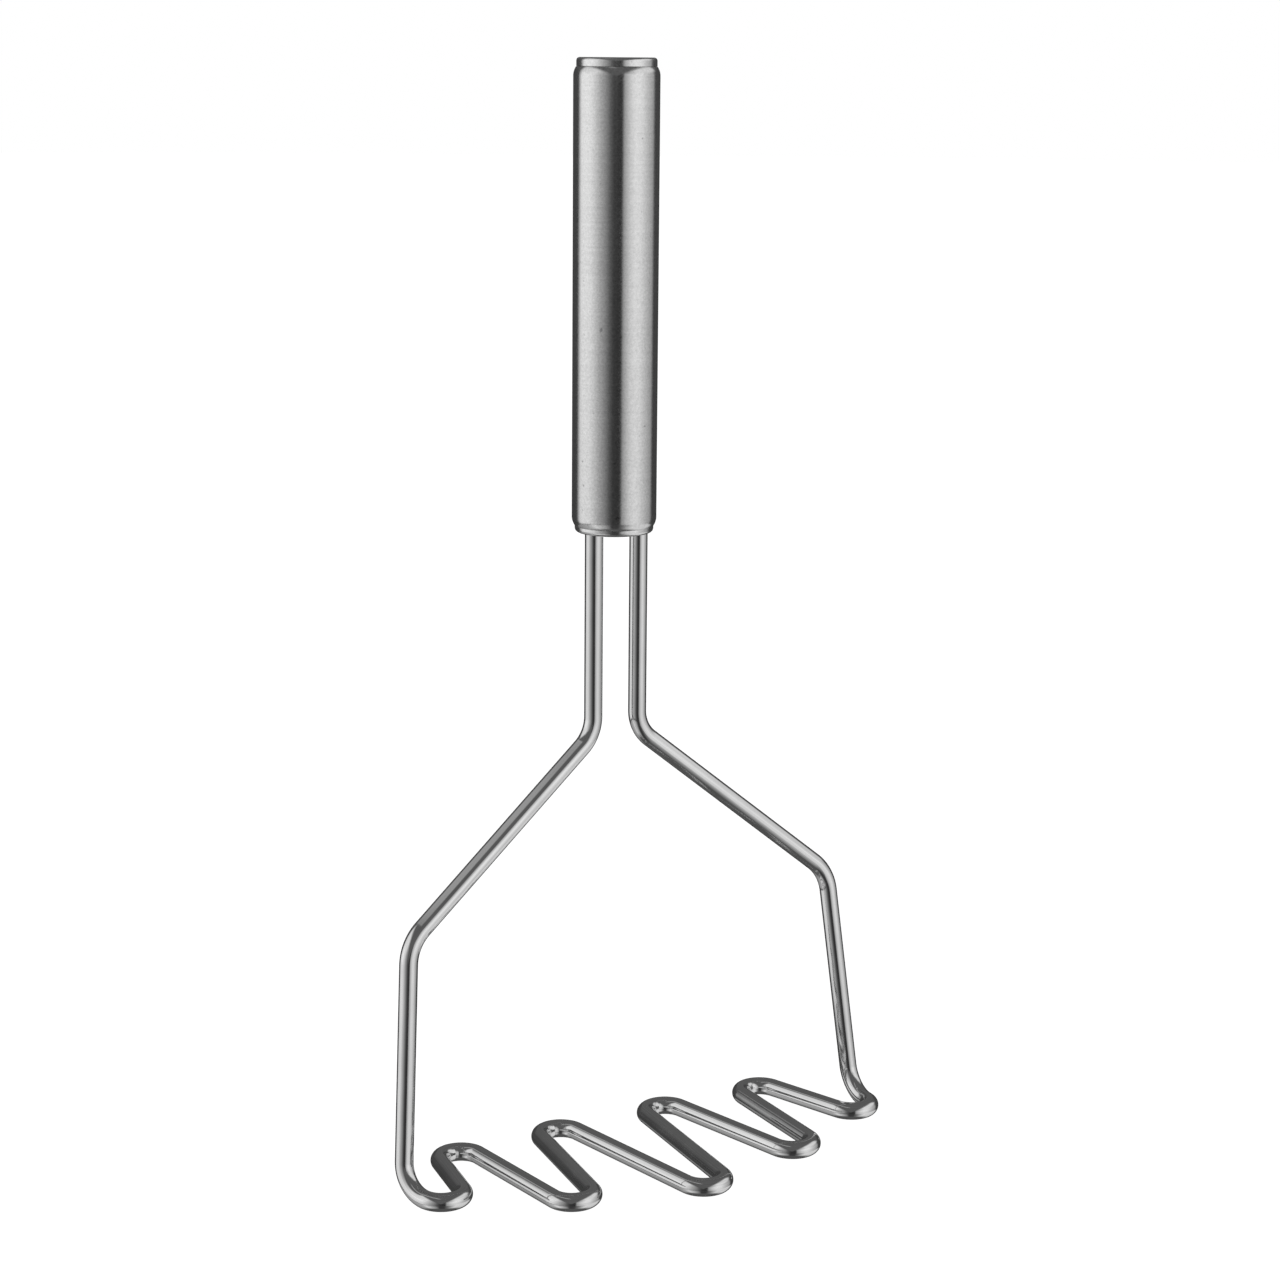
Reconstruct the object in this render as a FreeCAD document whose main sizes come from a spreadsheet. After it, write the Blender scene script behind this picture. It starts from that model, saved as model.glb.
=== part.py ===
"""Wire potato masher: a tubular steel grip, its two end caps, and one bent wire welded into the lower cap.

Millimetres, +Z up.  The zigzag foot lies on the plane Z = 0, its front bends towards -Y, and the origin is
the centre of the whole masher's footprint.  Plan positions are measured from the grip's own axis: X to
either side, and "reach" forward of it, towards -Y.
"""
import FreeCAD, Part

import math
import os

import Sketcher
from FreeCAD import Vector

SHEET = "Sizes"

# name, value in mm, what it sets
SIZES = [
    ("grip_diameter", 23.0, "outside of the grip tube"),
    ("grip_wall", 0.6, "wall of the grip tube"),
    ("grip_length", 122.0, "grip tube from end to end"),
    ("grip_base_height", 174.4, "lower end of the grip tube above the table"),
    ("neck_depth", 0.75, "how far each end of the tube is rolled in, on the radius"),
    ("neck_height", 2.4, "length of each rolled-in end"),
    ("cap_setback", 0.05, "step from the rolled-in end down to the cap, on the radius"),
    ("top_cap_height", 2.4, "part of the top cap that stands above the tube"),
    ("bottom_cap_height", 1.8, "part of the lower cap that stands below the tube"),
    ("top_edge_radius", 0.9, "rounded upper edge of the top cap"),
    ("bottom_edge_radius", 1.1, "rounded lower edge of the lower cap"),
    ("spigot_length", 5.0, "part of each cap that goes inside the tube"),
    ("spigot_clearance", 0.05, "gap between spigot and tube, on the radius"),
    ("top_cap_wall", 0.8, "sheet thickness of the pressed top cap"),
    ("wire_diameter", 5.0, "wire"),
    ("wire_clearance", 0.05, "gap between wire and cap bore, on the radius"),
    ("bore_web", 0.2, "metal left between a wire bore and the edge of the spigot"),
    ("shaft_reach", 1.3, "shafts, forward of the grip axis"),
    ("shaft_stub", 9.0, "wire that stands above the spigot inside the grip"),
    ("weld_leg", 1.4, "weld bead round each shaft, on top of the spigot"),
    ("shaft_bend_height", 117.0, "corner where a shaft turns outwards"),
    ("shaft_bend_radius", 10.5, "bend at that corner, to the wire's centre"),
    ("leg_top_height", 68.6, "corner where a strut turns down into a leg"),
    ("leg_top_reach", 8.2, "that corner, forward of the grip axis"),
    ("leg_top_radius", 13.0, "bend at that corner, to the wire's centre"),
    ("leg_splay", 5.8, "how much wider the legs stand at the foot than at the top, each side"),
    ("leg_foot_reach", 15.0, "foot of each leg, forward of the grip axis"),
    ("leg_foot_radius", 9.0, "bend from leg to foot, to the wire's centre"),
    ("foot_bend_radius", 5.75, "hairpin bends of the foot, to the wire's centre"),
    ("front_pitch_inner", 35.6, "middle front bend to the next one, along X"),
    ("front_pitch_outer", 29.6, "that one to the outermost front bend, along X"),
    ("leg_step", 8.3, "outermost front bend to the leg, along X"),
    ("front_reach_middle", 48.2, "middle front bend centre, forward of the grip axis"),
    ("front_reach_inner", 38.8, "next front bend centres"),
    ("front_reach_outer", 21.2, "outermost front bend centre on the left"),
    ("last_front_reach", 23.3, "outermost front bend centre on the right, bent a little longer"),
    ("last_front_drift", 1.9, "how much further out that bend stands than the left one, along X"),
    ("back_pitch_inner", 34.8, "between the two inner back bends, along X"),
    ("back_pitch_outer", 32.3, "inner to outer back bend, along X"),
    ("back_reach_inner", 1.9, "inner back bend centres, forward of the grip axis"),
    ("back_reach_outer", 2.8, "outer back bend centres, forward of the grip axis"),
]


def size(name):
    """An expression that reads one cell of the sheet."""
    return SHEET + "." + name


def mm(text):
    """The value of an expression in this document's sheet, in mm."""
    value = sheet.evalExpression(text)
    return float(getattr(value, "Value", value))


# Expressions that more than one piece is built from.
GRIP_RADIUS = size("grip_diameter") + " / 2"
WIRE_RADIUS = size("wire_diameter") + " / 2"
NECK_RADIUS = GRIP_RADIUS + " - " + size("neck_depth")
CAP_RADIUS = NECK_RADIUS + " - " + size("cap_setback")
ROLL_RADIUS = "({h} ^ 2 + {d} ^ 2) / (2 * {d})".format(h=size("neck_height"), d=size("neck_depth"))
ROLL_CENTRE = GRIP_RADIUS + " - " + ROLL_RADIUS
NECK_BORE = "{centre} + sqrt(({roll} - {wall}) ^ 2 - {height} ^ 2)".format(
    centre=ROLL_CENTRE, roll=ROLL_RADIUS, wall=size("grip_wall"), height=size("neck_height"))
SPIGOT_RADIUS = NECK_BORE + " - " + size("spigot_clearance")
WIRE_BORE = WIRE_RADIUS + " + " + size("wire_clearance")
SHAFT_X = "sqrt(({spigot} - {web} - {bore}) ^ 2 - {reach} ^ 2)".format(
    spigot="(" + SPIGOT_RADIUS + ")", web=size("bore_web"), bore="(" + WIRE_BORE + ")",
    reach=size("shaft_reach"))
GRIP_BASE = size("grip_base_height")
GRIP_TOP = GRIP_BASE + " + " + size("grip_length")
SPIGOT_TOP = GRIP_BASE + " + " + size("spigot_length")
AXIS_Y = "({reach} + {bend} + {wire} - {grip}) / 2".format(
    reach=size("front_reach_middle"), bend=size("foot_bend_radius"), wire=WIRE_RADIUS, grip=GRIP_RADIUS)


# ---------------------------------------------------------------- document and sheet

doc = FreeCAD.newDocument("potato_masher")
sheet = doc.addObject("Spreadsheet::Sheet", SHEET)
for row, (name, value, note) in enumerate(SIZES, start=1):
    sheet.set("A%d" % row, name)
    sheet.set("B%d" % row, str(value))
    sheet.set("C%d" % row, note)
    sheet.setAlias("B%d" % row, name)
doc.recompute()


# ---------------------------------------------------------------- sketch helpers

def plane(body, role):
    """One of a body's own origin planes."""
    return next(item for item in body.Origin.OriginFeatures if item.Role == role)


def add_sketch(body, name, role, offset=None):
    sketch = body.newObject("Sketcher::SketchObject", name)
    sketch.AttachmentSupport = (plane(body, role), "")
    sketch.MapMode = "FlatFace"
    if offset is not None:
        sketch.setExpression("AttachmentOffset.Base.z", offset)
    return sketch


def bind(sketch, kind, geometry, point, expression):
    """Hold one point's distance from the sketch origin, along X or Y, to an expression."""
    index = sketch.addConstraint(Sketcher.Constraint(kind, -1, 1, geometry, point, mm(expression)))
    label = "%s_%d" % (kind.lower(), index)
    sketch.renameConstraint(index, label)
    sketch.setExpression("Constraints." + label, expression)


def stepped_profile(sketch, corners):
    """A closed outline of upright and level lines through (radius, height) corners, given as expressions.

    A radius of None is on the axis.  The first line runs level.
    """
    points = [Vector(0 if radius is None else mm(radius), mm(height), 0) for radius, height in corners]
    count = len(points)
    for index in range(count):
        line = Part.LineSegment(points[index], points[(index + 1) % count])
        sketch.addGeometry(line, False)
    for index in range(count):
        sketch.addConstraint(Sketcher.Constraint("Coincident", index, 2, (index + 1) % count, 1))
        direction = "Horizontal" if index % 2 == 0 else "Vertical"
        sketch.addConstraint(Sketcher.Constraint(direction, index))
    for index, (radius, height) in enumerate(corners):
        if index % 2 == 0:
            bind(sketch, "DistanceY", index, 1, height)
        elif radius is None:
            sketch.addConstraint(Sketcher.Constraint("PointOnObject", index, 1, -2))
        else:
            bind(sketch, "DistanceX", index, 1, radius)


def revolve(body, sketch, name):
    feature = body.newObject("PartDesign::Revolution", name)
    feature.Profile = sketch
    feature.ReferenceAxis = (sketch, ["V_Axis"])
    feature.Angle = 360.0
    return feature


def round_outer_edge(body, base, name, radius, height):
    """Fillet the cap's widest edge at one height."""
    doc.recompute()
    for index, edge in enumerate(base.Shape.Edges, start=1):
        curve = edge.Curve
        if not isinstance(curve, Part.Circle):
            continue
        if abs(curve.Radius - mm(CAP_RADIUS)) < 1e-4 and abs(curve.Center.z - mm(height)) < 1e-4:
            fillet = body.newObject("PartDesign::Fillet", name)
            fillet.Base = (base, ["Edge%d" % index])
            fillet.setExpression("Radius", size(radius))
            return fillet
    raise RuntimeError("no edge to round on " + body.Label)


def new_body(label):
    """A body that stands on the grip's axis."""
    body = doc.addObject("PartDesign::Body", label)
    body.Label = label
    body.setExpression("Placement.Base.y", AXIS_Y)
    return body


# ---------------------------------------------------------------- grip tube

def make_handle_tube():
    """Drawn tube, each end rolled in over the cap that closes it."""
    body = new_body("handle_tube")
    sketch = add_sketch(body, "tube_section", "XZ_Plane")
    outer, inner = mm(GRIP_RADIUS), mm(GRIP_RADIUS) - mm(size("grip_wall"))
    neck, bore = mm(NECK_RADIUS), mm(NECK_BORE)
    base, top = mm(GRIP_BASE), mm(GRIP_TOP)
    low, high = base + mm(size("neck_height")), top - mm(size("neck_height"))
    centre, roll = mm(ROLL_CENTRE), mm(ROLL_RADIUS)
    thin = roll - mm(size("grip_wall"))
    turn_out = math.asin((top - high) / roll)
    turn_in = math.asin((top - high) / thin)

    def arc(height, radius, start, end):
        circle = Part.Circle(Vector(centre, height, 0), Vector(0, 0, 1), radius)
        return Part.ArcOfCircle(circle, start, end)

    outer_wall, top_roll, top_face, top_lining, inner_wall, low_lining, low_face, low_roll = range(8)
    sketch.addGeometry([
        Part.LineSegment(Vector(outer, low, 0), Vector(outer, high, 0)),
        arc(high, roll, 0, turn_out),
        Part.LineSegment(Vector(neck, top, 0), Vector(bore, top, 0)),
        arc(high, thin, 0, turn_in),
        Part.LineSegment(Vector(inner, high, 0), Vector(inner, low, 0)),
        arc(low, thin, -turn_in, 0),
        Part.LineSegment(Vector(bore, base, 0), Vector(neck, base, 0)),
        arc(low, roll, -turn_out, 0),
    ], False)
    joins = [
        ("Tangent", outer_wall, 2, top_roll, 1),
        ("Coincident", top_roll, 2, top_face, 1),
        ("Coincident", top_face, 2, top_lining, 2),
        ("Tangent", top_lining, 1, inner_wall, 1),
        ("Tangent", inner_wall, 2, low_lining, 2),
        ("Coincident", low_lining, 1, low_face, 1),
        ("Coincident", low_face, 2, low_roll, 1),
        ("Tangent", low_roll, 2, outer_wall, 1),
        ("Coincident", top_roll, 3, top_lining, 3),
        ("Coincident", low_roll, 3, low_lining, 3),
        ("Vertical", outer_wall),
        ("Vertical", inner_wall),
        ("Horizontal", top_face),
        ("Horizontal", low_face),
    ]
    for join in joins:
        sketch.addConstraint(Sketcher.Constraint(*join))
    bind(sketch, "DistanceX", outer_wall, 1, GRIP_RADIUS)
    bind(sketch, "DistanceX", inner_wall, 1, GRIP_RADIUS + " - " + size("grip_wall"))
    bind(sketch, "DistanceX", top_face, 1, NECK_RADIUS)
    bind(sketch, "DistanceX", low_face, 2, NECK_RADIUS)
    bind(sketch, "DistanceY", low_face, 1, GRIP_BASE)
    bind(sketch, "DistanceY", outer_wall, 1, GRIP_BASE + " + " + size("neck_height"))
    bind(sketch, "DistanceY", outer_wall, 2, GRIP_TOP + " - " + size("neck_height"))
    bind(sketch, "DistanceY", top_face, 1, GRIP_TOP)
    body.Tip = revolve(body, sketch, "tube_turned")
    return body


# ---------------------------------------------------------------- end caps

def make_top_cap():
    """Pressed cup that sits on the tube's upper end, its skirt inside the tube."""
    body = new_body("top_cap")
    head_top = GRIP_TOP + " + " + size("top_cap_height")
    skirt_end = GRIP_TOP + " - " + size("spigot_length")
    under_head = head_top + " - " + size("top_cap_wall")
    skirt_bore = SPIGOT_RADIUS + " - " + size("top_cap_wall")
    sketch = add_sketch(body, "top_cap_section", "XZ_Plane")
    stepped_profile(sketch, [
        (None, head_top),
        (CAP_RADIUS, head_top),
        (CAP_RADIUS, GRIP_TOP),
        (SPIGOT_RADIUS, GRIP_TOP),
        (SPIGOT_RADIUS, skirt_end),
        (skirt_bore, skirt_end),
        (skirt_bore, under_head),
        (None, under_head),
    ])
    turned = revolve(body, sketch, "top_cap_turned")
    body.Tip = round_outer_edge(body, turned, "top_cap_edge", "top_edge_radius", head_top)
    return body


def make_bottom_cap():
    """Solid plug in the tube's lower end, bored for the two shafts."""
    body = new_body("bottom_cap")
    head_bottom = GRIP_BASE + " - " + size("bottom_cap_height")
    sketch = add_sketch(body, "bottom_cap_section", "XZ_Plane")
    stepped_profile(sketch, [
        (None, SPIGOT_TOP),
        (SPIGOT_RADIUS, SPIGOT_TOP),
        (SPIGOT_RADIUS, GRIP_BASE),
        (CAP_RADIUS, GRIP_BASE),
        (CAP_RADIUS, head_bottom),
        (None, head_bottom),
    ])
    turned = revolve(body, sketch, "bottom_cap_turned")
    edge = round_outer_edge(body, turned, "bottom_cap_edge", "bottom_edge_radius", head_bottom)
    doc.recompute()
    solid_volume = edge.Shape.Volume

    holes = add_sketch(body, "shaft_bore_centres", "XY_Plane", offset=SPIGOT_TOP)
    for side, geometry in ((-1, 0), (1, 1)):
        centre = Vector(side * mm(SHAFT_X), -mm(size("shaft_reach")), 0)
        holes.addGeometry(Part.Circle(centre, Vector(0, 0, 1), mm(WIRE_BORE)), False)
        radius = holes.addConstraint(Sketcher.Constraint("Radius", geometry, mm(WIRE_BORE)))
        holes.renameConstraint(radius, "bore_%d" % geometry)
        holes.setExpression("Constraints.bore_%d" % geometry, WIRE_BORE)
        bind(holes, "DistanceX", geometry, 3, "%d * %s" % (side, SHAFT_X))
        bind(holes, "DistanceY", geometry, 3, "-1 * " + size("shaft_reach"))
    bores = body.newObject("PartDesign::Pocket", "shaft_bores")
    bores.Profile = holes
    bores.Type = "ThroughAll"
    body.Tip = bores
    doc.recompute()
    depth = mm(SPIGOT_TOP) - mm(head_bottom)
    removed = solid_volume - body.Shape.Volume
    if abs(removed - 2 * math.pi * mm(WIRE_BORE) ** 2 * depth) > 0.01 * removed:
        raise RuntimeError("the shaft bores do not go through the lower cap")
    return body


# ---------------------------------------------------------------- wire

def rounded_run(points, radii):
    """Edges through the points, each inner corner rounded, and the point where the last run ends.

    A bend never takes more than the room that its two runs leave it.
    """
    edges = []
    start = points[0]
    for before, corner, after, radius in zip(points, points[1:], points[2:], radii):
        arriving = (corner - before).normalize()
        leaving = (after - corner).normalize()
        half_turn = arriving.getAngle(leaving) / 2
        room = 0.99 * min((corner - start).Length, (after - corner).Length)
        setback = min(radius * math.tan(half_turn), room)
        bend = setback / math.tan(half_turn)
        first = corner - arriving * setback
        last = corner + leaving * setback
        inward = (leaving - arriving).normalize()
        centre = corner + inward * (bend / math.cos(half_turn))
        middle = centre - inward * bend
        edges.append(Part.LineSegment(start, first).toShape())
        edges.append(Part.Arc(first, middle, last).toShape())
        start = last
    return edges, start


def tangent_run(start, start_pull, end, end_pull):
    """The straight that leaves one forming pin and reaches the next.

    A pull is the pin's radius, positive where the wire turns left round it and negative where it turns
    right, and zero at a plain point.
    """
    step = end - start
    heading = math.atan2(step.y, step.x) - math.asin((end_pull - start_pull) / step.Length)
    across = Vector(-math.sin(heading), math.cos(heading), 0)
    return start - across * start_pull, end - across * end_pull


def pin_arc(centre, first, last, radius):
    """The bend round one pin, on the side away from the runs that meet there."""
    outward = ((first - centre) + (last - centre)).normalize()
    if (first - centre).getAngle(outward) > math.pi / 2:
        outward = outward * -1
    return Part.Arc(first, centre + outward * radius, last).toShape()


def foot_pins(height):
    """Forming pins of the zigzag from -X to +X, front and back in turn, as (centre, side).

    They mirror each other across X = 0, but for the last front one.
    """
    inner = mm(size("front_pitch_inner"))
    outer = inner + mm(size("front_pitch_outer"))
    front = [
        (-outer, "front_reach_outer"),
        (-inner, "front_reach_inner"),
        (0.0, "front_reach_middle"),
        (inner, "front_reach_inner"),
        (outer + mm(size("last_front_drift")), "last_front_reach"),
    ]
    inner = mm(size("back_pitch_inner")) / 2
    outer = inner + mm(size("back_pitch_outer"))
    back = [
        (-outer, "back_reach_outer"),
        (-inner, "back_reach_inner"),
        (inner, "back_reach_inner"),
        (outer, "back_reach_outer"),
    ]
    pins = [(x, -mm(size(reach)), 1) for x, reach in front]
    pins += [(x, -mm(size(reach)), -1) for x, reach in back]
    return [(Vector(x, y, height), side) for x, y, side in sorted(pins)]


def wire_path():
    """Centre line of the wire: down one shaft and leg, along the zigzag, up the other side."""
    radius = mm(WIRE_RADIUS)
    bend = mm(size("foot_bend_radius"))
    leg_x = mm(size("front_pitch_inner")) + mm(size("front_pitch_outer")) + mm(size("leg_step"))
    top = mm(SPIGOT_TOP) + mm(size("shaft_stub"))

    def side_points(side):
        shaft_x = side * mm(SHAFT_X)
        shaft_y = -mm(size("shaft_reach"))
        return [
            Vector(shaft_x, shaft_y, top),
            Vector(shaft_x, shaft_y, mm(size("shaft_bend_height"))),
            Vector(side * (leg_x - mm(size("leg_splay"))), -mm(size("leg_top_reach")),
                   mm(size("leg_top_height"))),
            Vector(side * leg_x, -mm(size("leg_foot_reach")), radius),
        ]

    left, right = side_points(-1), side_points(1)
    stops = [(left[-1], 0.0)]
    stops += [(centre, bend * side) for centre, side in foot_pins(radius)]
    stops += [(right[-1], 0.0)]
    runs = [tangent_run(*a, *b) for a, b in zip(stops, stops[1:])]

    corner_radii = [mm(size(name)) for name in ("shaft_bend_radius", "leg_top_radius", "leg_foot_radius")]
    edges, start = rounded_run(left + [runs[0][1]], corner_radii)
    right_edges, finish = rounded_run(right + [runs[-1][0]], corner_radii)
    edges.append(Part.LineSegment(start, runs[0][1]).toShape())
    for (centre, pull), arriving, leaving in zip(stops[1:-1], runs, runs[1:]):
        edges.append(pin_arc(centre, arriving[1], leaving[0], abs(pull)))
        if leaving is not runs[-1]:
            edges.append(Part.LineSegment(*leaving).toShape())
    edges.append(Part.LineSegment(runs[-1][0], finish).toShape())
    edges += reversed(right_edges)
    return Part.Wire(Part.sortEdges(edges)[0])


def make_wire():
    """One round wire, bent cold, swept along its centre line."""
    path = doc.addObject("Part::Feature", "wire_centre_line")
    path.Shape = wire_path()
    ring = doc.addObject("Part::Circle", "wire_section")
    ring.setExpression("Radius", WIRE_RADIUS)
    ring.setExpression("Placement.Base.x", "-1 * " + SHAFT_X)
    ring.setExpression("Placement.Base.y", "-1 * " + size("shaft_reach"))
    ring.setExpression("Placement.Base.z", SPIGOT_TOP + " + " + size("shaft_stub"))
    wire = doc.addObject("Part::Sweep", "masher_wire")
    wire.Label = "masher_wire"
    wire.Sections = [ring]
    wire.Spine = (path, ["Edge%d" % number for number in range(1, len(path.Shape.Edges) + 1)])
    wire.Solid = True
    wire.Frenet = False
    wire.setExpression("Placement.Base.y", AXIS_Y)
    doc.recompute()
    expected = math.pi * mm(WIRE_RADIUS) ** 2 * path.Shape.Length
    if abs(wire.Shape.Volume - expected) > 0.005 * expected:
        raise RuntimeError("the swept wire is not its section times its length")
    print("wire length %.1f mm" % path.Shape.Length)
    return wire


# ---------------------------------------------------------------- welds

def make_weld(label, side):
    """Bead that joins a shaft to the lower cap, on the cap's inner side, kept within the spigot's edge."""
    bead = doc.addObject("Part::Cone", label + "_bead")
    bead.setExpression("Radius1", WIRE_RADIUS + " + " + size("weld_leg"))
    bead.setExpression("Radius2", WIRE_RADIUS + " + " + size("weld_leg") + " / 5")
    bead.setExpression("Height", size("weld_leg"))
    shaft = doc.addObject("Part::Cylinder", label + "_shaft")
    shaft.setExpression("Radius", WIRE_RADIUS)
    shaft.setExpression("Height", size("weld_leg"))
    for piece in (bead, shaft):
        piece.setExpression("Placement.Base.x", "%d * %s" % (side, SHAFT_X))
        piece.setExpression("Placement.Base.y", "-1 * " + size("shaft_reach"))
        piece.setExpression("Placement.Base.z", SPIGOT_TOP)
    limit = doc.addObject("Part::Cylinder", label + "_limit")
    limit.setExpression("Radius", SPIGOT_RADIUS)
    limit.setExpression("Height", size("weld_leg"))
    limit.setExpression("Placement.Base.z", SPIGOT_TOP)
    ring = doc.addObject("Part::Cut", label + "_ring")
    ring.Base = bead
    ring.Tool = shaft
    weld = doc.addObject("Part::Common", label)
    weld.Label = label
    weld.Base = ring
    weld.Tool = limit
    weld.setExpression("Placement.Base.y", AXIS_Y)
    return weld


# ---------------------------------------------------------------- build, check, write

SUB_PARTS = [
    make_handle_tube(),
    make_top_cap(),
    make_bottom_cap(),
    make_wire(),
    make_weld("left_shaft_weld", -1),
    make_weld("right_shaft_weld", 1),
]
doc.recompute()

for item in doc.Objects:
    if "Invalid" in item.State or "Error" in item.State:
        raise RuntimeError("%s did not build: %s" % (item.Label, item.State))
for part in SUB_PARTS:
    if part.Shape.isNull() or not part.Shape.isValid() or not part.Shape.Solids:
        raise RuntimeError(part.Label + " has no valid solid")

os.makedirs("parts", exist_ok=True)
for part in SUB_PARTS:
    part.Shape.exportStep(os.path.join("parts", part.Label + ".step"))
    box = part.Shape.BoundBox
    print("%-18s %d solid  %8.1f mm3   x %.2f..%.2f  y %.2f..%.2f  z %.2f..%.2f" % (
        part.Label, len(part.Shape.Solids), part.Shape.Volume,
        box.XMin, box.XMax, box.YMin, box.YMax, box.ZMin, box.ZMax))
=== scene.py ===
"""Wire potato masher: fine meshes, metals, studio and camera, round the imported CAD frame.

Metres, +Z up, in the CAD model's frame: the foot lies on Z = 0 and its front bends point towards -Y.
"""

import math

import bmesh
import bpy
import numpy as np
from mathutils import Matrix, Vector


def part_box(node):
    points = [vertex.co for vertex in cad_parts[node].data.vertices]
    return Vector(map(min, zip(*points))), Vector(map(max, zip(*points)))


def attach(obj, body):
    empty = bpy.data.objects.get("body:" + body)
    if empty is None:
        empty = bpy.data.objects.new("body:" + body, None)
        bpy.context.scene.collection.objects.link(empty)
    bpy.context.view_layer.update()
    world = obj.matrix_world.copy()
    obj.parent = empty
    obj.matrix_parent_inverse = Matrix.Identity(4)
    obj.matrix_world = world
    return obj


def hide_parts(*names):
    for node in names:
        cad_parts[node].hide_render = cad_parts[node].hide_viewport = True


MM = 0.001

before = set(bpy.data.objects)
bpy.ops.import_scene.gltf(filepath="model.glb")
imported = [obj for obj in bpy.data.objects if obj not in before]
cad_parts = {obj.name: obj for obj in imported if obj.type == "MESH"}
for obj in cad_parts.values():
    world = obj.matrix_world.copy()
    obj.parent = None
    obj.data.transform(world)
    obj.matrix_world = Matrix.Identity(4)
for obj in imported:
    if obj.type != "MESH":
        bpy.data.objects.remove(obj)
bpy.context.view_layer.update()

tube_low, tube_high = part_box("handle_tube")
cap_low, cap_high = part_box("bottom_cap")
lid_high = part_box("top_cap")[1]
AXIS = (tube_low + tube_high) / 2
GRIP_RADIUS = (tube_high.x - tube_low.x) / 2
CAP_RADIUS = (cap_high.x - cap_low.x) / 2
GRIP_BASE, GRIP_TOP = tube_low.z, tube_high.z
LID_TOP, CAP_BOTTOM = lid_high.z, cap_low.z

SHARP_ANGLE = math.radians(40)


# ---------------------------------------------------------------- mesh helpers

def mesh_object(name, vertices, faces, uvs):
    """A smooth-shaded mesh object; uvs holds one (u, v) per face corner."""
    mesh = bpy.data.meshes.new(name)
    mesh.from_pydata([tuple(v) for v in vertices], [], faces)
    layer = mesh.uv_layers.new(name="surface")
    layer.data.foreach_set("uv", np.array(uvs, np.float32).ravel())
    mesh.polygons.foreach_set("use_smooth", [True] * len(mesh.polygons))
    mesh.set_sharp_from_angle(angle=SHARP_ANGLE)
    mesh.validate()
    mesh.update()
    item = bpy.data.objects.new(name, mesh)
    bpy.context.scene.collection.objects.link(item)
    return item


CORNER_STEPS = 7
SUPPORT_SHARE = 0.2
TURNED_SEGMENTS = 192
ON_AXIS = 1e-7


def soft_corner(before, corner, after, radius):
    """Points that round one corner of an outline, with a support point on each side."""
    if radius == 0:
        return [corner]
    arriving = (corner - before).normalized()
    leaving = (after - corner).normalized()
    half_turn = arriving.angle(leaving) / 2
    setback = radius * math.tan(half_turn)
    first = corner - arriving * setback
    last = corner + leaving * setback
    centre = corner + (leaving - arriving).normalized() * (radius / math.cos(half_turn))
    points = [first - arriving * radius * SUPPORT_SHARE]
    for step in range(CORNER_STEPS + 1):
        share = step / CORNER_STEPS
        arm = (first - centre).lerp(last - centre, share).normalized() * radius
        points.append(centre + arm)
    points.append(last + leaving * radius * SUPPORT_SHARE)
    return points


def soft_outline(corners):
    """An outline of (radius out, height, rounding) corners in mm, as points in metres."""
    places = [Vector(corner[:2]) for corner in corners]
    roundings = [corner[2] for corner in corners]
    points = []
    for index, rounding in enumerate(roundings):
        before = places[index - 1]
        after = places[(index + 1) % len(places)]
        points += soft_corner(before, places[index], after, rounding)
    return [point * MM for point in points]


def lathe(name, outline):
    """A closed outline of (radius, height) points, turned round the grip's axis."""
    segments = TURNED_SEGMENTS
    reach = 2 * math.pi * GRIP_RADIUS / segments
    vertices, rings = [], []
    for out, height in outline:
        if out < ON_AXIS:
            rings.append([len(vertices)] * segments)
            vertices.append((AXIS.x, AXIS.y, height))
            continue
        rings.append(list(range(len(vertices), len(vertices) + segments)))
        for segment in range(segments):
            turn = 2 * math.pi * segment / segments
            vertices.append((AXIS.x + out * math.cos(turn), AXIS.y + out * math.sin(turn), height))
    faces, uvs = [], []
    for index, ring in enumerate(rings):
        above = rings[(index + 1) % len(rings)]
        if ring[0] == ring[1] and above[0] == above[1]:
            continue  # this span runs along the axis
        low, high = outline[index][1], outline[(index + 1) % len(outline)][1]
        for segment in range(segments):
            following = (segment + 1) % segments
            corners = [ring[segment], ring[following], above[following], above[segment]]
            across = [segment, segment + 1, segment + 1, segment]
            heights = [low, low, high, high]
            kept = [i for i in range(4) if corners[i] != corners[i - 1]]
            faces.append([corners[i] for i in kept])
            uvs += [(across[i] * reach, heights[i]) for i in kept]
    return mesh_object(name, vertices, faces, uvs)


# ---------------------------------------------------------------- grip and caps
# Bare lengths are in mm; lengths times MM are in metres.

TUBE_WALL = 0.6
ROLL_DEPTH = 0.75
ROLL_RISE = 2.4
ROLL_STEPS = 10
TUBE_ROWS = 24
END_BORE_RADIUS = 9.99
SPIGOT_RADIUS = 9.93
SPIGOT_LENGTH = 5
LID_WALL = 0.8
SEAM_GAP = 0.02
BORE_CLEARANCE = 0.05
SHAFT_X = 7.07
SHAFT_REACH = 1.3
WIRE_RADIUS = 2.5 * MM


def place(x, reach, height):
    """A point given in mm from the grip's axis, reach forward of it."""
    return Vector((AXIS.x + x * MM, AXIS.y - reach * MM, height * MM))


def roll_arc(wall_height, direction, inset):
    """A rolled-in end of the tube, from the wall to the end, as (radius out, height, 0).

    direction is 1 for the upper end and -1 for the lower; inset is the depth below the outer surface.
    """
    roll = (ROLL_RISE ** 2 + ROLL_DEPTH ** 2) / (2 * ROLL_DEPTH)
    centre = GRIP_RADIUS / MM - roll
    radius = roll - inset
    turn = math.asin(ROLL_RISE / radius)
    points = []
    for step in range(ROLL_STEPS):
        angle = turn * step / ROLL_STEPS
        height = wall_height + direction * radius * math.sin(angle)
        points.append((centre + radius * math.cos(angle), height, 0))
    return points


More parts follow.
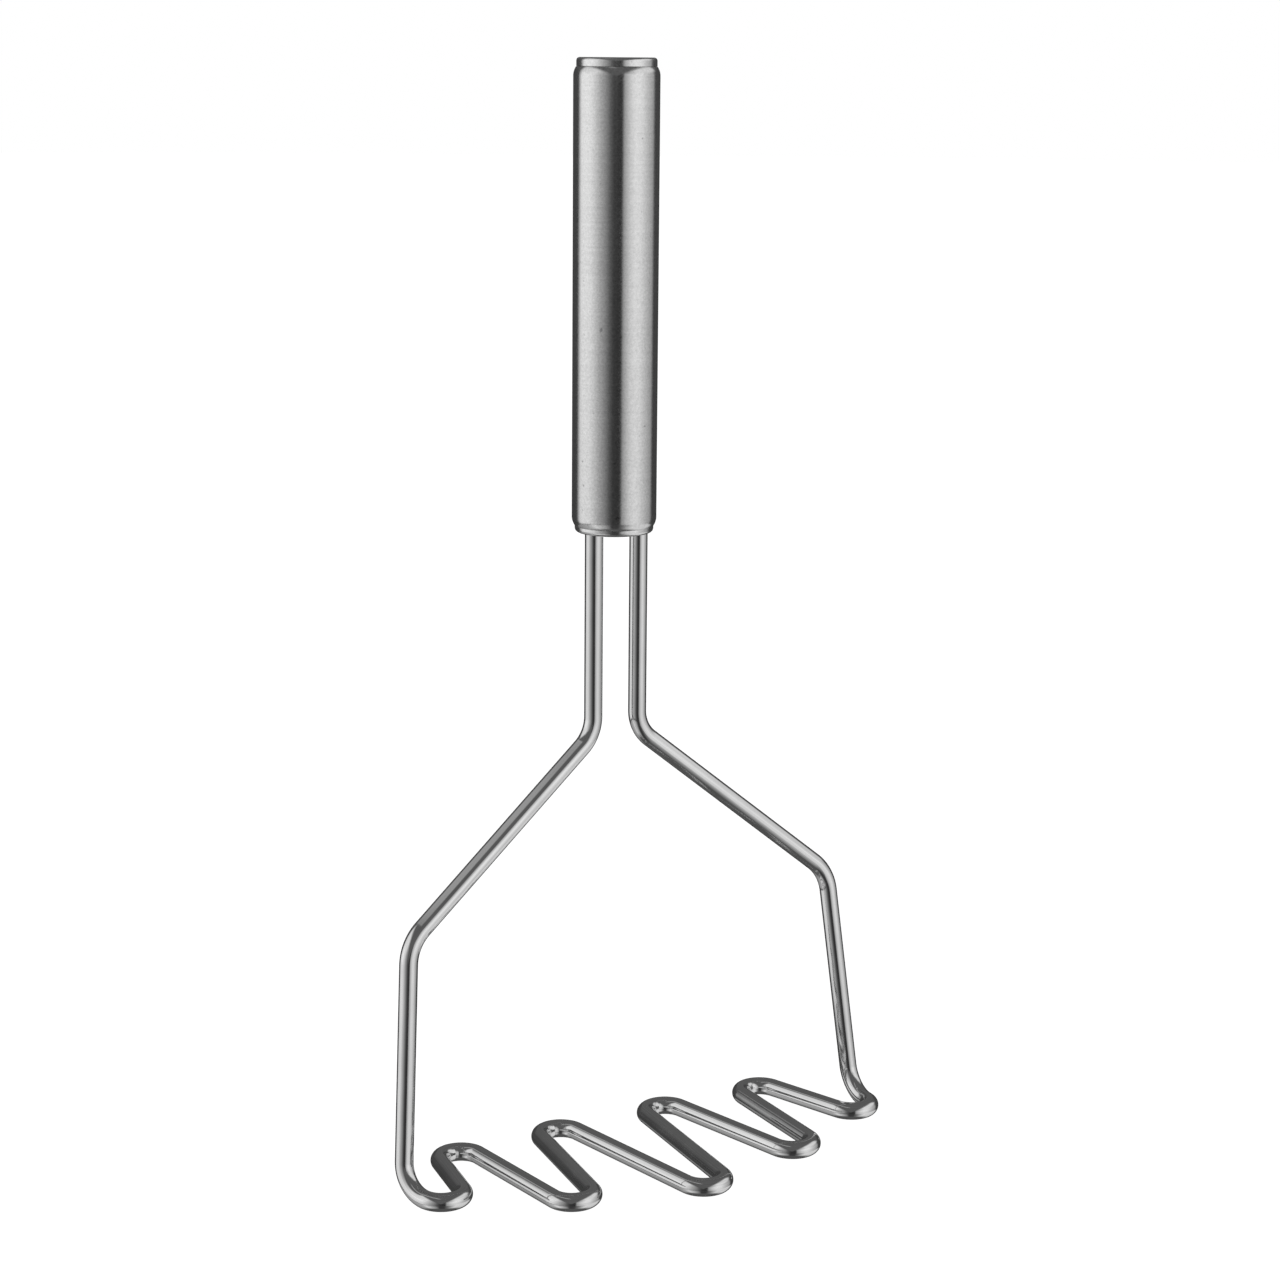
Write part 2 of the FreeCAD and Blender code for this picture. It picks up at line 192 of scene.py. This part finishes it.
def make_grip():
    """Drawn tube with a wall, its ends rolled in over the caps."""
    base, top = GRIP_BASE / MM, GRIP_TOP / MM
    outer = GRIP_RADIUS / MM
    neck = outer - ROLL_DEPTH
    low, high = base + ROLL_RISE, top - ROLL_RISE
    corners = [(neck, base, 0.12)]
    corners += reversed(roll_arc(low, -1, 0))
    corners += [(outer, low + (high - low) * row / TUBE_ROWS, 0) for row in range(1, TUBE_ROWS)]
    corners += roll_arc(high, 1, 0)
    corners += [(neck, top, 0.12), (END_BORE_RADIUS, top, 0.1)]
    corners += reversed(roll_arc(high, 1, TUBE_WALL))
    corners += roll_arc(low, -1, TUBE_WALL)
    corners += [(END_BORE_RADIUS, base, 0.1)]
    return lathe("grip_tube", soft_outline(corners))


def make_lid():
    """Pressed cap on the upper end of the grip."""
    top, seam, cap = LID_TOP / MM, GRIP_TOP / MM, CAP_RADIUS / MM
    skirt = SPIGOT_RADIUS
    inside = SPIGOT_RADIUS - LID_WALL
    corners = [
        (0, top, 0),
        (cap * 0.5, top, 0),
        (cap, top, 0.9),
        (cap, seam + SEAM_GAP, 0.14),
        (skirt, seam + SEAM_GAP, 0),
        (skirt, seam - SPIGOT_LENGTH, 0.1),
        (inside, seam - SPIGOT_LENGTH, 0.1),
        (inside, top - LID_WALL, 0),
        (0, top - LID_WALL, 0),
    ]
    return lathe("grip_lid", soft_outline(list(reversed(corners))))


def make_lower_cap():
    """Plug in the lower end of the grip, bored for the two shafts."""
    bottom, seam, cap = CAP_BOTTOM / MM, GRIP_BASE / MM, CAP_RADIUS / MM
    corners = [
        (0, bottom, 0),
        (cap * 0.5, bottom, 0),
        (cap, bottom, 1.1),
        (cap, seam - SEAM_GAP, 0.14),
        (SPIGOT_RADIUS, seam - SEAM_GAP, 0),
        (SPIGOT_RADIUS, seam + SPIGOT_LENGTH, 0.1),
        (0, seam + SPIGOT_LENGTH, 0),
    ]
    plug = lathe("shaft_cap", soft_outline(corners))
    bore_radius = WIRE_RADIUS + BORE_CLEARANCE * MM
    for side in (-1, 1):
        drill = bmesh.new()
        bmesh.ops.create_cone(
            drill, segments=64, radius1=bore_radius, radius2=bore_radius, depth=30 * MM, cap_ends=True)
        centre = place(side * SHAFT_X, SHAFT_REACH, seam)
        bmesh.ops.translate(drill, verts=drill.verts, vec=centre)
        tool_mesh = bpy.data.meshes.new("drill")
        drill.to_mesh(tool_mesh)
        drill.free()
        tool = bpy.data.objects.new("drill", tool_mesh)
        bpy.context.scene.collection.objects.link(tool)
        bore = plug.modifiers.new("bore", "BOOLEAN")
        bore.operation = "DIFFERENCE"
        bore.object = tool
        depsgraph = bpy.context.evaluated_depsgraph_get()
        bored = bpy.data.meshes.new_from_object(plug.evaluated_get(depsgraph))
        plug.modifiers.clear()
        plug.data = bored
        bpy.data.objects.remove(tool)
    plug.data.set_sharp_from_angle(angle=SHARP_ANGLE)
    return plug


# ---------------------------------------------------------------- wire
# Places are in mm, out and forward from the grip's axis and up from the table.

SHAFT_TOP = 188.4
SHOULDER_HEIGHT = 117.0
KNEE_REACH = 8.2
KNEE_HEIGHT = 68.6
HEEL_REACH = 15.0
FRONT_PINS = [(-65.2, 21.2), (-35.6, 38.8), (0.0, 48.2), (35.6, 38.8), (67.1, 23.3)]
BACK_PINS = [(-49.7, 2.8), (-17.4, 1.9), (17.4, 1.9), (49.7, 2.8)]
LEG_X = 73.5
LEG_SPLAY = 5.8
CORNER_RADII = [10.5, 13.0, 9.0]
HAIRPIN_RADIUS = 5.75 * MM
STRAIGHT_STEP = 4 * MM
BEND_STEP = math.radians(1.5)
WIRE_SIDES = 48
FLAT_SHARE = 0.02
CREASE_DEPTH = 0.05 * MM
CREASE_REACH = 0.4 * MM
RIM_REACH = 1.2 * MM
RIM_SHARE = 0.3


def rounded_run(points, radii):
    """Straights and bends through the points, as (start, end, centre), centre None on a straight."""
    pieces = []
    start = points[0]
    for before, corner, after, radius in zip(points, points[1:], points[2:], radii):
        arriving = (corner - before).normalized()
        leaving = (after - corner).normalized()
        half_turn = arriving.angle(leaving) / 2
        room = 0.99 * min((corner - start).length, (after - corner).length)
        setback = min(radius * MM * math.tan(half_turn), room)
        bend = setback / math.tan(half_turn)
        first = corner - arriving * setback
        last = corner + leaving * setback
        centre = corner + (leaving - arriving).normalized() * (bend / math.cos(half_turn))
        pieces.append((start, first, None))
        pieces.append((first, last, centre))
        start = last
    return pieces, start


def tangent_run(start, start_pull, end, end_pull):
    """The straight from one forming pin to the next; a pull is the pin's radius, signed by its side."""
    step = end - start
    heading = math.atan2(step.y, step.x) - math.asin((end_pull - start_pull) / step.length)
    across = Vector((-math.sin(heading), math.cos(heading), 0))
    return start - across * start_pull, end - across * end_pull


def wire_pieces():
    """The wire's straights and bends, from the top of the left shaft to the top of the right one."""
    radius = WIRE_RADIUS / MM

    def side_points(side):
        return [
            place(side * SHAFT_X, SHAFT_REACH, SHAFT_TOP),
            place(side * SHAFT_X, SHAFT_REACH, SHOULDER_HEIGHT),
            place(side * (LEG_X - LEG_SPLAY), KNEE_REACH, KNEE_HEIGHT),
            place(side * LEG_X, HEEL_REACH, radius),
        ]

    left, right = side_points(-1), side_points(1)
    pins = [(x, reach, 1) for x, reach in FRONT_PINS]
    pins += [(x, reach, -1) for x, reach in BACK_PINS]
    stops = [(left[-1], 0.0)]
    stops += [(place(x, reach, radius), HAIRPIN_RADIUS * side) for x, reach, side in sorted(pins)]
    stops += [(right[-1], 0.0)]
    runs = [tangent_run(*a, *b) for a, b in zip(stops, stops[1:])]

    pieces, start = rounded_run(left + [runs[0][1]], CORNER_RADII)
    right_pieces, finish = rounded_run(right + [runs[-1][0]], CORNER_RADII)
    pieces.append((start, runs[0][1], None))
    for (centre, _), arriving, leaving in zip(stops[1:-1], runs, runs[1:]):
        pieces.append((arriving[1], leaving[0], centre))
        if leaving is not runs[-1]:
            pieces.append((leaving[0], leaving[1], None))
    pieces.append((runs[-1][0], finish, None))
    pieces += [(end, start, centre) for start, end, centre in reversed(right_pieces)]
    return pieces


def sample_wire():
    """Centre-line samples as (point, tangent, inward, distance from the bend's middle, bend radius)."""
    samples = []
    for start, end, centre in wire_pieces():
        if centre is None:
            tangent = (end - start).normalized()
            count = max(1, math.ceil((end - start).length / STRAIGHT_STEP))
            samples += [(start.lerp(end, i / count), tangent, None, 0, 0) for i in range(count)]
            continue
        first, last = start - centre, end - centre
        turn = first.angle(last)
        across = first.cross(last).normalized()
        count = math.ceil(turn / BEND_STEP)
        for i in range(count):
            angle = turn * i / count
            arm = Matrix.Rotation(angle, 3, across) @ first
            tangent = across.cross(arm).normalized()
            distance = (angle - turn / 2) * arm.length
            samples.append((centre + arm, tangent, -arm.normalized(), distance, arm.length))
    samples.append((end, (end - start).normalized(), None, 0, 0))
    return samples


def bend_mark(facing, distance, bend_radius):
    """How far the surface moves out where a cold bend has pinched its inner side, in metres.

    facing is 1 on the inner side of the bend and -1 on the outer.
    """
    tight = min(1.0, HAIRPIN_RADIUS / bend_radius) ** 3
    near = math.exp(-(distance / (1.5 * WIRE_RADIUS)) ** 2)
    flat = -FLAT_SHARE * WIRE_RADIUS * near * max(0.0, -facing) ** 4
    crease = math.exp(-(distance / CREASE_REACH) ** 2)
    crease -= RIM_SHARE * math.exp(-(distance / RIM_REACH) ** 2)
    return tight * (flat - CREASE_DEPTH * crease * max(0.0, facing) ** 3)


def make_wire():
    """One round wire swept along its centre line, with the marks of its cold bends."""
    samples = sample_wire()
    vertices, lengths = [], [0.0]
    side = Vector((1, 0, 0))
    for index, (point, tangent, inward, distance, bend_radius) in enumerate(samples):
        if index:
            lengths.append(lengths[-1] + (point - samples[index - 1][0]).length)
        side = (side - tangent * side.dot(tangent)).normalized()
        over = tangent.cross(side)
        for step in range(WIRE_SIDES):
            turn = 2 * math.pi * step / WIRE_SIDES
            out = side * math.cos(turn) + over * math.sin(turn)
            radius = WIRE_RADIUS
            if inward is not None:
                radius += bend_mark(out.dot(inward), distance, bend_radius)
            vertices.append(point + out * radius)
    faces, uvs = [], []
    around = 2 * math.pi * WIRE_RADIUS / WIRE_SIDES
    for ring in range(len(samples) - 1):
        for step in range(WIRE_SIDES):
            here, there = ring * WIRE_SIDES, (ring + 1) * WIRE_SIDES
            following = (step + 1) % WIRE_SIDES
            faces.append([here + step, here + following, there + following, there + step])
            near, far = lengths[ring], lengths[ring + 1]
            low, high = step * around, (step + 1) * around
            uvs += [(near, low), (near, high), (far, high), (far, low)]
    faces.append(list(reversed(range(WIRE_SIDES))))
    faces.append(list(range(len(vertices) - WIRE_SIDES, len(vertices))))
    uvs += [(0.0, 0.0)] * (2 * WIRE_SIDES)
    return mesh_object("bent_wire", vertices, faces, uvs)


# ---------------------------------------------------------------- metals

class Metal:
    """A procedural metal: a Principled shader and the nodes that vary its roughness, tone and bump."""

    def __init__(self, name, roughness, anisotropic=0.0):
        self.material = bpy.data.materials.new(name)
        self.material.use_nodes = True
        self.tree = self.material.node_tree
        self.shader = self.tree.nodes["Principled BSDF"]
        self.shader.inputs["Metallic"].default_value = 1.0
        self.shader.inputs["Roughness"].default_value = roughness
        self.shader.inputs["Anisotropic"].default_value = anisotropic

    def node(self, kind, **inputs):
        made = self.tree.nodes.new(kind)
        for name, value in inputs.items():
            made.inputs[name].default_value = value
        return made

    def link(self, source, target):
        self.tree.links.new(source, target)

    def coordinates(self, output, scale):
        """Texture coordinates stretched by a scale along each axis."""
        source = self.node("ShaderNodeTexCoord")
        mapping = self.node("ShaderNodeMapping", Scale=scale)
        self.link(source.outputs[output], mapping.inputs["Vector"])
        return mapping.outputs["Vector"]

    def noise(self, vector, detail=2.0):
        made = self.node("ShaderNodeTexNoise", Scale=1.0, Detail=detail, Roughness=0.6)
        self.link(vector, made.inputs["Vector"])
        return made.outputs["Fac"]

    def ranged(self, value, low, high, start=0.3, end=0.7):
        """A noise value between start and end taken to the range low to high."""
        made = self.node("ShaderNodeMapRange")
        made.inputs["From Min"].default_value = start
        made.inputs["From Max"].default_value = end
        made.inputs["To Min"].default_value = low
        made.inputs["To Max"].default_value = high
        self.link(value, made.inputs["Value"])
        return made.outputs["Result"]

    def grey(self, value):
        """Make one value the grey of the base colour."""
        made = self.node("ShaderNodeCombineColor")
        for channel in ("Red", "Green", "Blue"):
            self.link(value, made.inputs[channel])
        self.link(made.outputs["Color"], self.shader.inputs["Base Color"])

    def multiply(self, first, second):
        made = self.node("ShaderNodeMath")
        made.operation = "MULTIPLY"
        self.link(first, made.inputs[0])
        self.link(second, made.inputs[1])
        return made.outputs["Value"]

    def bump(self, height, distance, strength=1.0, under=None):
        made = self.node("ShaderNodeBump", Strength=strength, Distance=distance)
        self.link(height, made.inputs["Height"])
        if under is not None:
            self.link(under, made.inputs["Normal"])
        return made.outputs["Normal"]


def brushed_metal(name, tone, roughness, line_strength, anisotropic):
    """Steel with fine lines that run round the grip, satin grain, a few pits and faint handling marks."""
    metal = Metal(name, roughness, anisotropic)
    lines = metal.noise(metal.coordinates("Object", (90, 90, 5200)), detail=3.0)
    broad = metal.noise(metal.coordinates("Object", (25, 25, 900)), detail=2.0)
    cloud = metal.noise(metal.coordinates("Object", (70, 70, 45)), detail=3.0)
    pits = metal.noise(metal.coordinates("Object", (620, 620, 620)), detail=0.0)
    pitted = metal.ranged(pits, 0.62, 1.0, 0.13, 0.19)
    shade = metal.ranged(lines, tone * 0.97, tone * 1.02)
    shade = metal.multiply(shade, metal.ranged(broad, 0.96, 1.02))
    shade = metal.multiply(shade, pitted)
    grain = metal.noise(metal.coordinates("Object", (1500, 1500, 1500)), detail=3.0)
    shade = metal.multiply(shade, metal.ranged(grain, 0.87, 1.07))
    metal.grey(shade)
    rough = metal.ranged(grain, roughness * 0.8, roughness * 1.2)
    rough = metal.multiply(rough, metal.ranged(cloud, 0.9, 1.12))
    metal.link(rough, metal.shader.inputs["Roughness"])
    fine = metal.bump(lines, 0.004 * MM, line_strength)
    metal.link(metal.bump(pitted, 0.01 * MM, 0.5, under=fine), metal.shader.inputs["Normal"])
    tangent = metal.node("ShaderNodeTangent")
    tangent.direction_type = "RADIAL"
    tangent.axis = "Z"
    metal.link(tangent.outputs["Tangent"], metal.shader.inputs["Tangent"])
    metal.shader.inputs["Anisotropic Rotation"].default_value = 0.25
    return metal.material


def polished_metal(name, tone, roughness):
    """Drawn wire: polished, with faint drawing lines along it and a slight ripple from the polishing."""
    metal = Metal(name, roughness)
    lines = metal.noise(metal.coordinates("UV", (28, 4200, 1)), detail=2.0)
    ripple = metal.noise(metal.coordinates("UV", (420, 700, 1)), detail=2.0)
    worn = metal.noise(metal.coordinates("UV", (120, 260, 1)), detail=3.0)
    shade = metal.multiply(metal.ranged(lines, tone * 0.88, tone * 1.05), metal.ranged(worn, 0.95, 1.03))
    metal.grey(shade)
    rough = metal.ranged(lines, roughness * 0.8, roughness * 1.3)
    metal.link(metal.multiply(rough, metal.ranged(worn, 0.7, 1.35)), metal.shader.inputs["Roughness"])
    drawn = metal.bump(lines, 0.0012 * MM)
    metal.link(metal.bump(ripple, 0.003 * MM, under=drawn), metal.shader.inputs["Normal"])
    return metal.material


def weld_metal():
    """Weld bead: duller, rippled, with a straw to blue heat tint."""
    metal = Metal("weld_bead_metal", 0.42)
    ripple = metal.noise(metal.coordinates("Object", (900, 900, 1400)), detail=2.0)
    heat = metal.noise(metal.coordinates("Object", (160, 160, 420)), detail=1.0)
    ramp = metal.node("ShaderNodeValToRGB")
    ramp.color_ramp.elements[0].position = 0.35
    ramp.color_ramp.elements[0].color = (0.42, 0.36, 0.26, 1)
    ramp.color_ramp.elements[1].position = 0.65
    ramp.color_ramp.elements[1].color = (0.30, 0.33, 0.42, 1)
    metal.link(heat, ramp.inputs["Fac"])
    metal.link(ramp.outputs["Color"], metal.shader.inputs["Base Color"])
    metal.link(metal.ranged(ripple, 0.32, 0.52), metal.shader.inputs["Roughness"])
    metal.link(metal.bump(ripple, 0.08 * MM), metal.shader.inputs["Normal"])
    return metal.material


# ---------------------------------------------------------------- the object

def finish_piece(item, material, slot, *nodes):
    """Give a piece its metal and its body, and hide the CAD nodes that it stands for; slot is not used."""
    item.data.materials.clear()
    item.data.materials.append(material)
    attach(item, "root")
    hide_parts(*nodes)


grip_metal = brushed_metal(
    "grip_brushed_steel", tone=0.75, roughness=0.17, line_strength=0.12, anisotropic=0.5)
cap_metal = brushed_metal(
    "cap_turned_steel", tone=0.80, roughness=0.20, line_strength=0.3, anisotropic=0.4)
wire_metal = polished_metal("wire_polished_steel", tone=0.77, roughness=0.10)
finish_piece(make_grip(), grip_metal, "brushed_steel", "handle_tube")
finish_piece(make_lid(), cap_metal, "cap_steel", "top_cap")
finish_piece(make_lower_cap(), cap_metal, "cap_steel", "bottom_cap")
finish_piece(make_wire(), wire_metal, "polished_wire", "masher_wire")

bead_metal = weld_metal()
for node in ("left_shaft_weld", "right_shaft_weld"):
    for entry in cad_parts[node].material_slots:
        entry.material = bead_metal


# ---------------------------------------------------------------- camera

CAMERA_PLACE = Vector((-0.3931, -0.6207, 0.2991))
CAMERA_YAW = math.radians(-31.99)
CAMERA_PITCH = math.radians(11.74)
CAMERA_ROLL = math.radians(0.48)

camera_data = bpy.data.cameras.new("photo_camera")
camera_data.lens = 79.0
camera_data.sensor_width = 36.0
camera_data.clip_start = 0.01
camera = bpy.data.objects.new("photo_camera", camera_data)
aim = Matrix.Rotation(CAMERA_YAW, 4, "Z") @ Matrix.Rotation(math.pi / 2 - CAMERA_PITCH, 4, "X")
camera.matrix_world = Matrix.Translation(CAMERA_PLACE) @ aim @ Matrix.Rotation(CAMERA_ROLL, 4, "Z")
bpy.context.scene.collection.objects.link(camera)
bpy.context.scene.camera = camera


# ---------------------------------------------------------------- studio

def add_floor():
    """A plain pale floor, lit from within like a light table, that the metal does not mirror."""
    mesh = bpy.data.meshes.new("floor")
    shape = bmesh.new()
    bmesh.ops.create_circle(shape, cap_ends=True, segments=96, radius=8.0)
    shape.to_mesh(mesh)
    shape.free()
    floor = bpy.data.objects.new("floor", mesh)
    bpy.context.scene.collection.objects.link(floor)
    material = bpy.data.materials.new("floor_paper")
    material.use_nodes = True
    shader = material.node_tree.nodes["Principled BSDF"]
    shader.inputs["Base Color"].default_value = (0.3, 0.3, 0.3, 1)
    shader.inputs["Emission Color"].default_value = (1, 1, 1, 1)
    shader.inputs["Emission Strength"].default_value = 0.96
    shader.inputs["Roughness"].default_value = 0.9
    shader.inputs["Specular IOR Level"].default_value = 0.0
    mesh.materials.append(material)
    floor.visible_glossy = False


def add_overhead():
    """Faint broad light from above, for the floor only: the metal mirrors the softboxes instead."""
    light = bpy.data.lights.new("overhead", "SUN")
    light.energy = 0.4
    light.angle = math.radians(100)
    item = bpy.data.objects.new("overhead", light)
    item.location = (0, 0, 2)
    item.visible_glossy = False
    bpy.context.scene.collection.objects.link(item)


class Sky:
    """Softboxes and the dark gaps between them, by direction seen from the object."""

    def __init__(self):
        world = bpy.data.worlds.new("studio")
        world.use_nodes = True
        bpy.context.scene.world = world
        self.tree = world.node_tree
        self.background = self.tree.nodes["Background"]

    def math(self, operation, *values):
        made = self.tree.nodes.new("ShaderNodeMath")
        made.operation = operation
        for socket, value in zip(made.inputs, values):
            if isinstance(value, (int, float)):
                socket.default_value = value
            else:
                self.tree.links.new(value, socket)
        return made.outputs["Value"]

    def between(self, value, start, end):
        """0 below start, 1 above end, smooth between."""
        made = self.tree.nodes.new("ShaderNodeMapRange")
        made.interpolation_type = "SMOOTHSTEP"
        made.inputs["From Min"].default_value = start
        made.inputs["From Max"].default_value = end
        self.tree.links.new(value, made.inputs["Value"])
        return made.outputs["Result"]

    def ring(self, bearing, stops):
        """Brightness round the horizon, from (degrees to the right of the camera, brightness) stops."""
        made = self.tree.nodes.new("ShaderNodeValToRGB")
        ramp = made.color_ramp
        ramp.interpolation = "LINEAR"
        while len(ramp.elements) < len(stops):
            ramp.elements.new(0.5)
        for element, (degrees, value) in zip(ramp.elements, stops):
            element.position = degrees / 360 + 0.5
            element.color = (value, value, value, 1)
        self.tree.links.new(bearing, made.inputs["Fac"])
        return made.outputs["Color"]

    def along(self, parts, direction):
        """How far a direction, given as its three parts, runs along another."""
        x, y, z = [self.math("MULTIPLY", part, share) for part, share in zip(parts, direction)]
        return self.math("ADD", self.math("ADD", x, y), z)

    def mix(self, factor, low, high):
        """low where factor is 0, high where it is 1."""
        rise = self.math("MULTIPLY", self.math("SUBTRACT", high, low), factor)
        return self.math("ADD", low, rise)


# Each ring holds (degrees to the right of the camera, brightness) stops; -90 is image-left.
SIDE_LIGHTS = [
    (-180, 0.06), (-121, 0.07), (-106, 0.98), (-90, 1.05), (-72, 1.0), (-56, 0.75), (-42, 0.50),
    (-28, 0.32), (-15, 0.13), (-4, 0.05), (16, 0.04), (21, 0.42), (40, 0.85), (54, 1.0), (70, 0.95),
    (86, 0.72), (105, 0.50), (113, 0.42), (123, 0.07), (180, 0.06),
]
UPPER_LIGHTS = [
    (-180, 0.11), (-124, 0.11), (-110, 0.85), (-60, 0.9), (-36, 0.45), (-15, 0.12), (15, 0.11),
    (36, 0.5), (60, 0.9), (122, 0.8), (134, 0.11), (180, 0.11),
]
TABLE_LIGHTS = [
    (-180, 0.05), (-162, 0.06), (-140, 0.24), (-120, 0.36), (-85, 0.5), (-60, 0.85), (-20, 0.3), (-8, 0.05),
    (14, 0.05), (30, 0.22), (60, 0.85), (125, 0.75), (146, 0.06), (180, 0.05),
]
# Degrees of elevation between which one zone fades into the next.
HORIZON_FADE = (-10, 0)
UPPER_FADE = (10, 24)
OVERHEAD_FADE = (38, 52)
TABLE_EDGE_FADE = (-26, -24)
SEAM_FADE = (-29, -27)
TABLE_FOOT_FADE = (-66, -50)
BELOW_HORIZON_SHARE = 0.85
OVERHEAD_GLOW = 0.12
TABLE_FOOT_GLOW = 0.10
# Dark gap between the table's edge and the left softbox, which fades out towards the right.
SEAM_GLOW = 0.06
SEAM_SIDE_FADE = (-0.2, 0.1)
# High strip light on the left: a narrow band of directions STRIP_OFFSET along STRIP_ACROSS.
STRIP_ALONG = Vector((-0.567, 0.521, 0.636))
STRIP_ACROSS = Vector((-0.778, -0.089, -0.621))
STRIP_OFFSET = -0.27
STRIP_WIDTH_FADE = (0.03, 0.09)
STRIP_START_FADE = (0.35, 0.65)
STRIP_END_FADE = (-0.72, -0.5)
STRIP_GLOW = 0.42


def make_sky():
    """The world: softboxes by direction for the metal, plain white for the camera."""
    sky = Sky()
    source = sky.tree.nodes.new("ShaderNodeTexCoord")
    split = sky.tree.nodes.new("ShaderNodeSeparateXYZ")
    sky.tree.links.new(source.outputs["Generated"], split.inputs["Vector"])
    x, y, z = split.outputs
    towards = (CAMERA_PLACE - AXIS).xy.normalized()
    ahead = sky.math("ADD", sky.math("MULTIPLY", x, towards.x), sky.math("MULTIPLY", y, towards.y))
    right = sky.math("ADD", sky.math("MULTIPLY", x, -towards.y), sky.math("MULTIPLY", y, towards.x))
    angle = sky.math("ARCTAN2", right, ahead)
    bearing = sky.math("ADD", sky.math("DIVIDE", angle, 2 * math.pi), 0.5)
    rise = sky.math("MULTIPLY", sky.math("ARCSINE", z), 180 / math.pi)

    level = sky.ring(bearing, SIDE_LIGHTS)
    level = sky.math("MULTIPLY", level, sky.mix(sky.between(rise, *HORIZON_FADE), BELOW_HORIZON_SHARE, 1.0))
    upper = sky.ring(bearing, UPPER_LIGHTS)
    glow = sky.mix(sky.between(rise, *UPPER_FADE), level, upper)
    tilt = sky.math("ARCTAN2", z, sky.math("ABSOLUTE", right))
    tilt = sky.math("MULTIPLY", tilt, 180 / math.pi)
    glow = sky.mix(sky.between(tilt, *OVERHEAD_FADE), glow, OVERHEAD_GLOW)

    across = sky.math("SUBTRACT", sky.along((x, y, z), STRIP_ACROSS), STRIP_OFFSET)
    strip = sky.math("SUBTRACT", 1.0, sky.between(sky.math("ABSOLUTE", across), *STRIP_WIDTH_FADE))
    start = sky.between(sky.along((x, y, z), STRIP_ALONG), *STRIP_START_FADE)
    strip = sky.math("MULTIPLY", strip, start)
    strip = sky.math("MULTIPLY", strip, sky.between(ahead, *STRIP_END_FADE))
    glow = sky.math("MAXIMUM", glow, sky.math("MULTIPLY", strip, STRIP_GLOW))

    table = sky.ring(bearing, TABLE_LIGHTS)
    table = sky.mix(sky.between(rise, *TABLE_FOOT_FADE), TABLE_FOOT_GLOW, table)
    seam = sky.mix(sky.between(right, *SEAM_SIDE_FADE), SEAM_GLOW, table)
    below = sky.mix(sky.between(rise, *SEAM_FADE), table, seam)
    glow = sky.mix(sky.between(rise, *TABLE_EDGE_FADE), below, glow)

    path = sky.tree.nodes.new("ShaderNodeLightPath")
    seen = sky.mix(path.outputs["Is Camera Ray"], glow, 1.0)
    sky.tree.links.new(seen, sky.background.inputs["Color"])


add_floor()
add_overhead()
make_sky()
bpy.context.scene.view_settings.view_transform = "Standard"
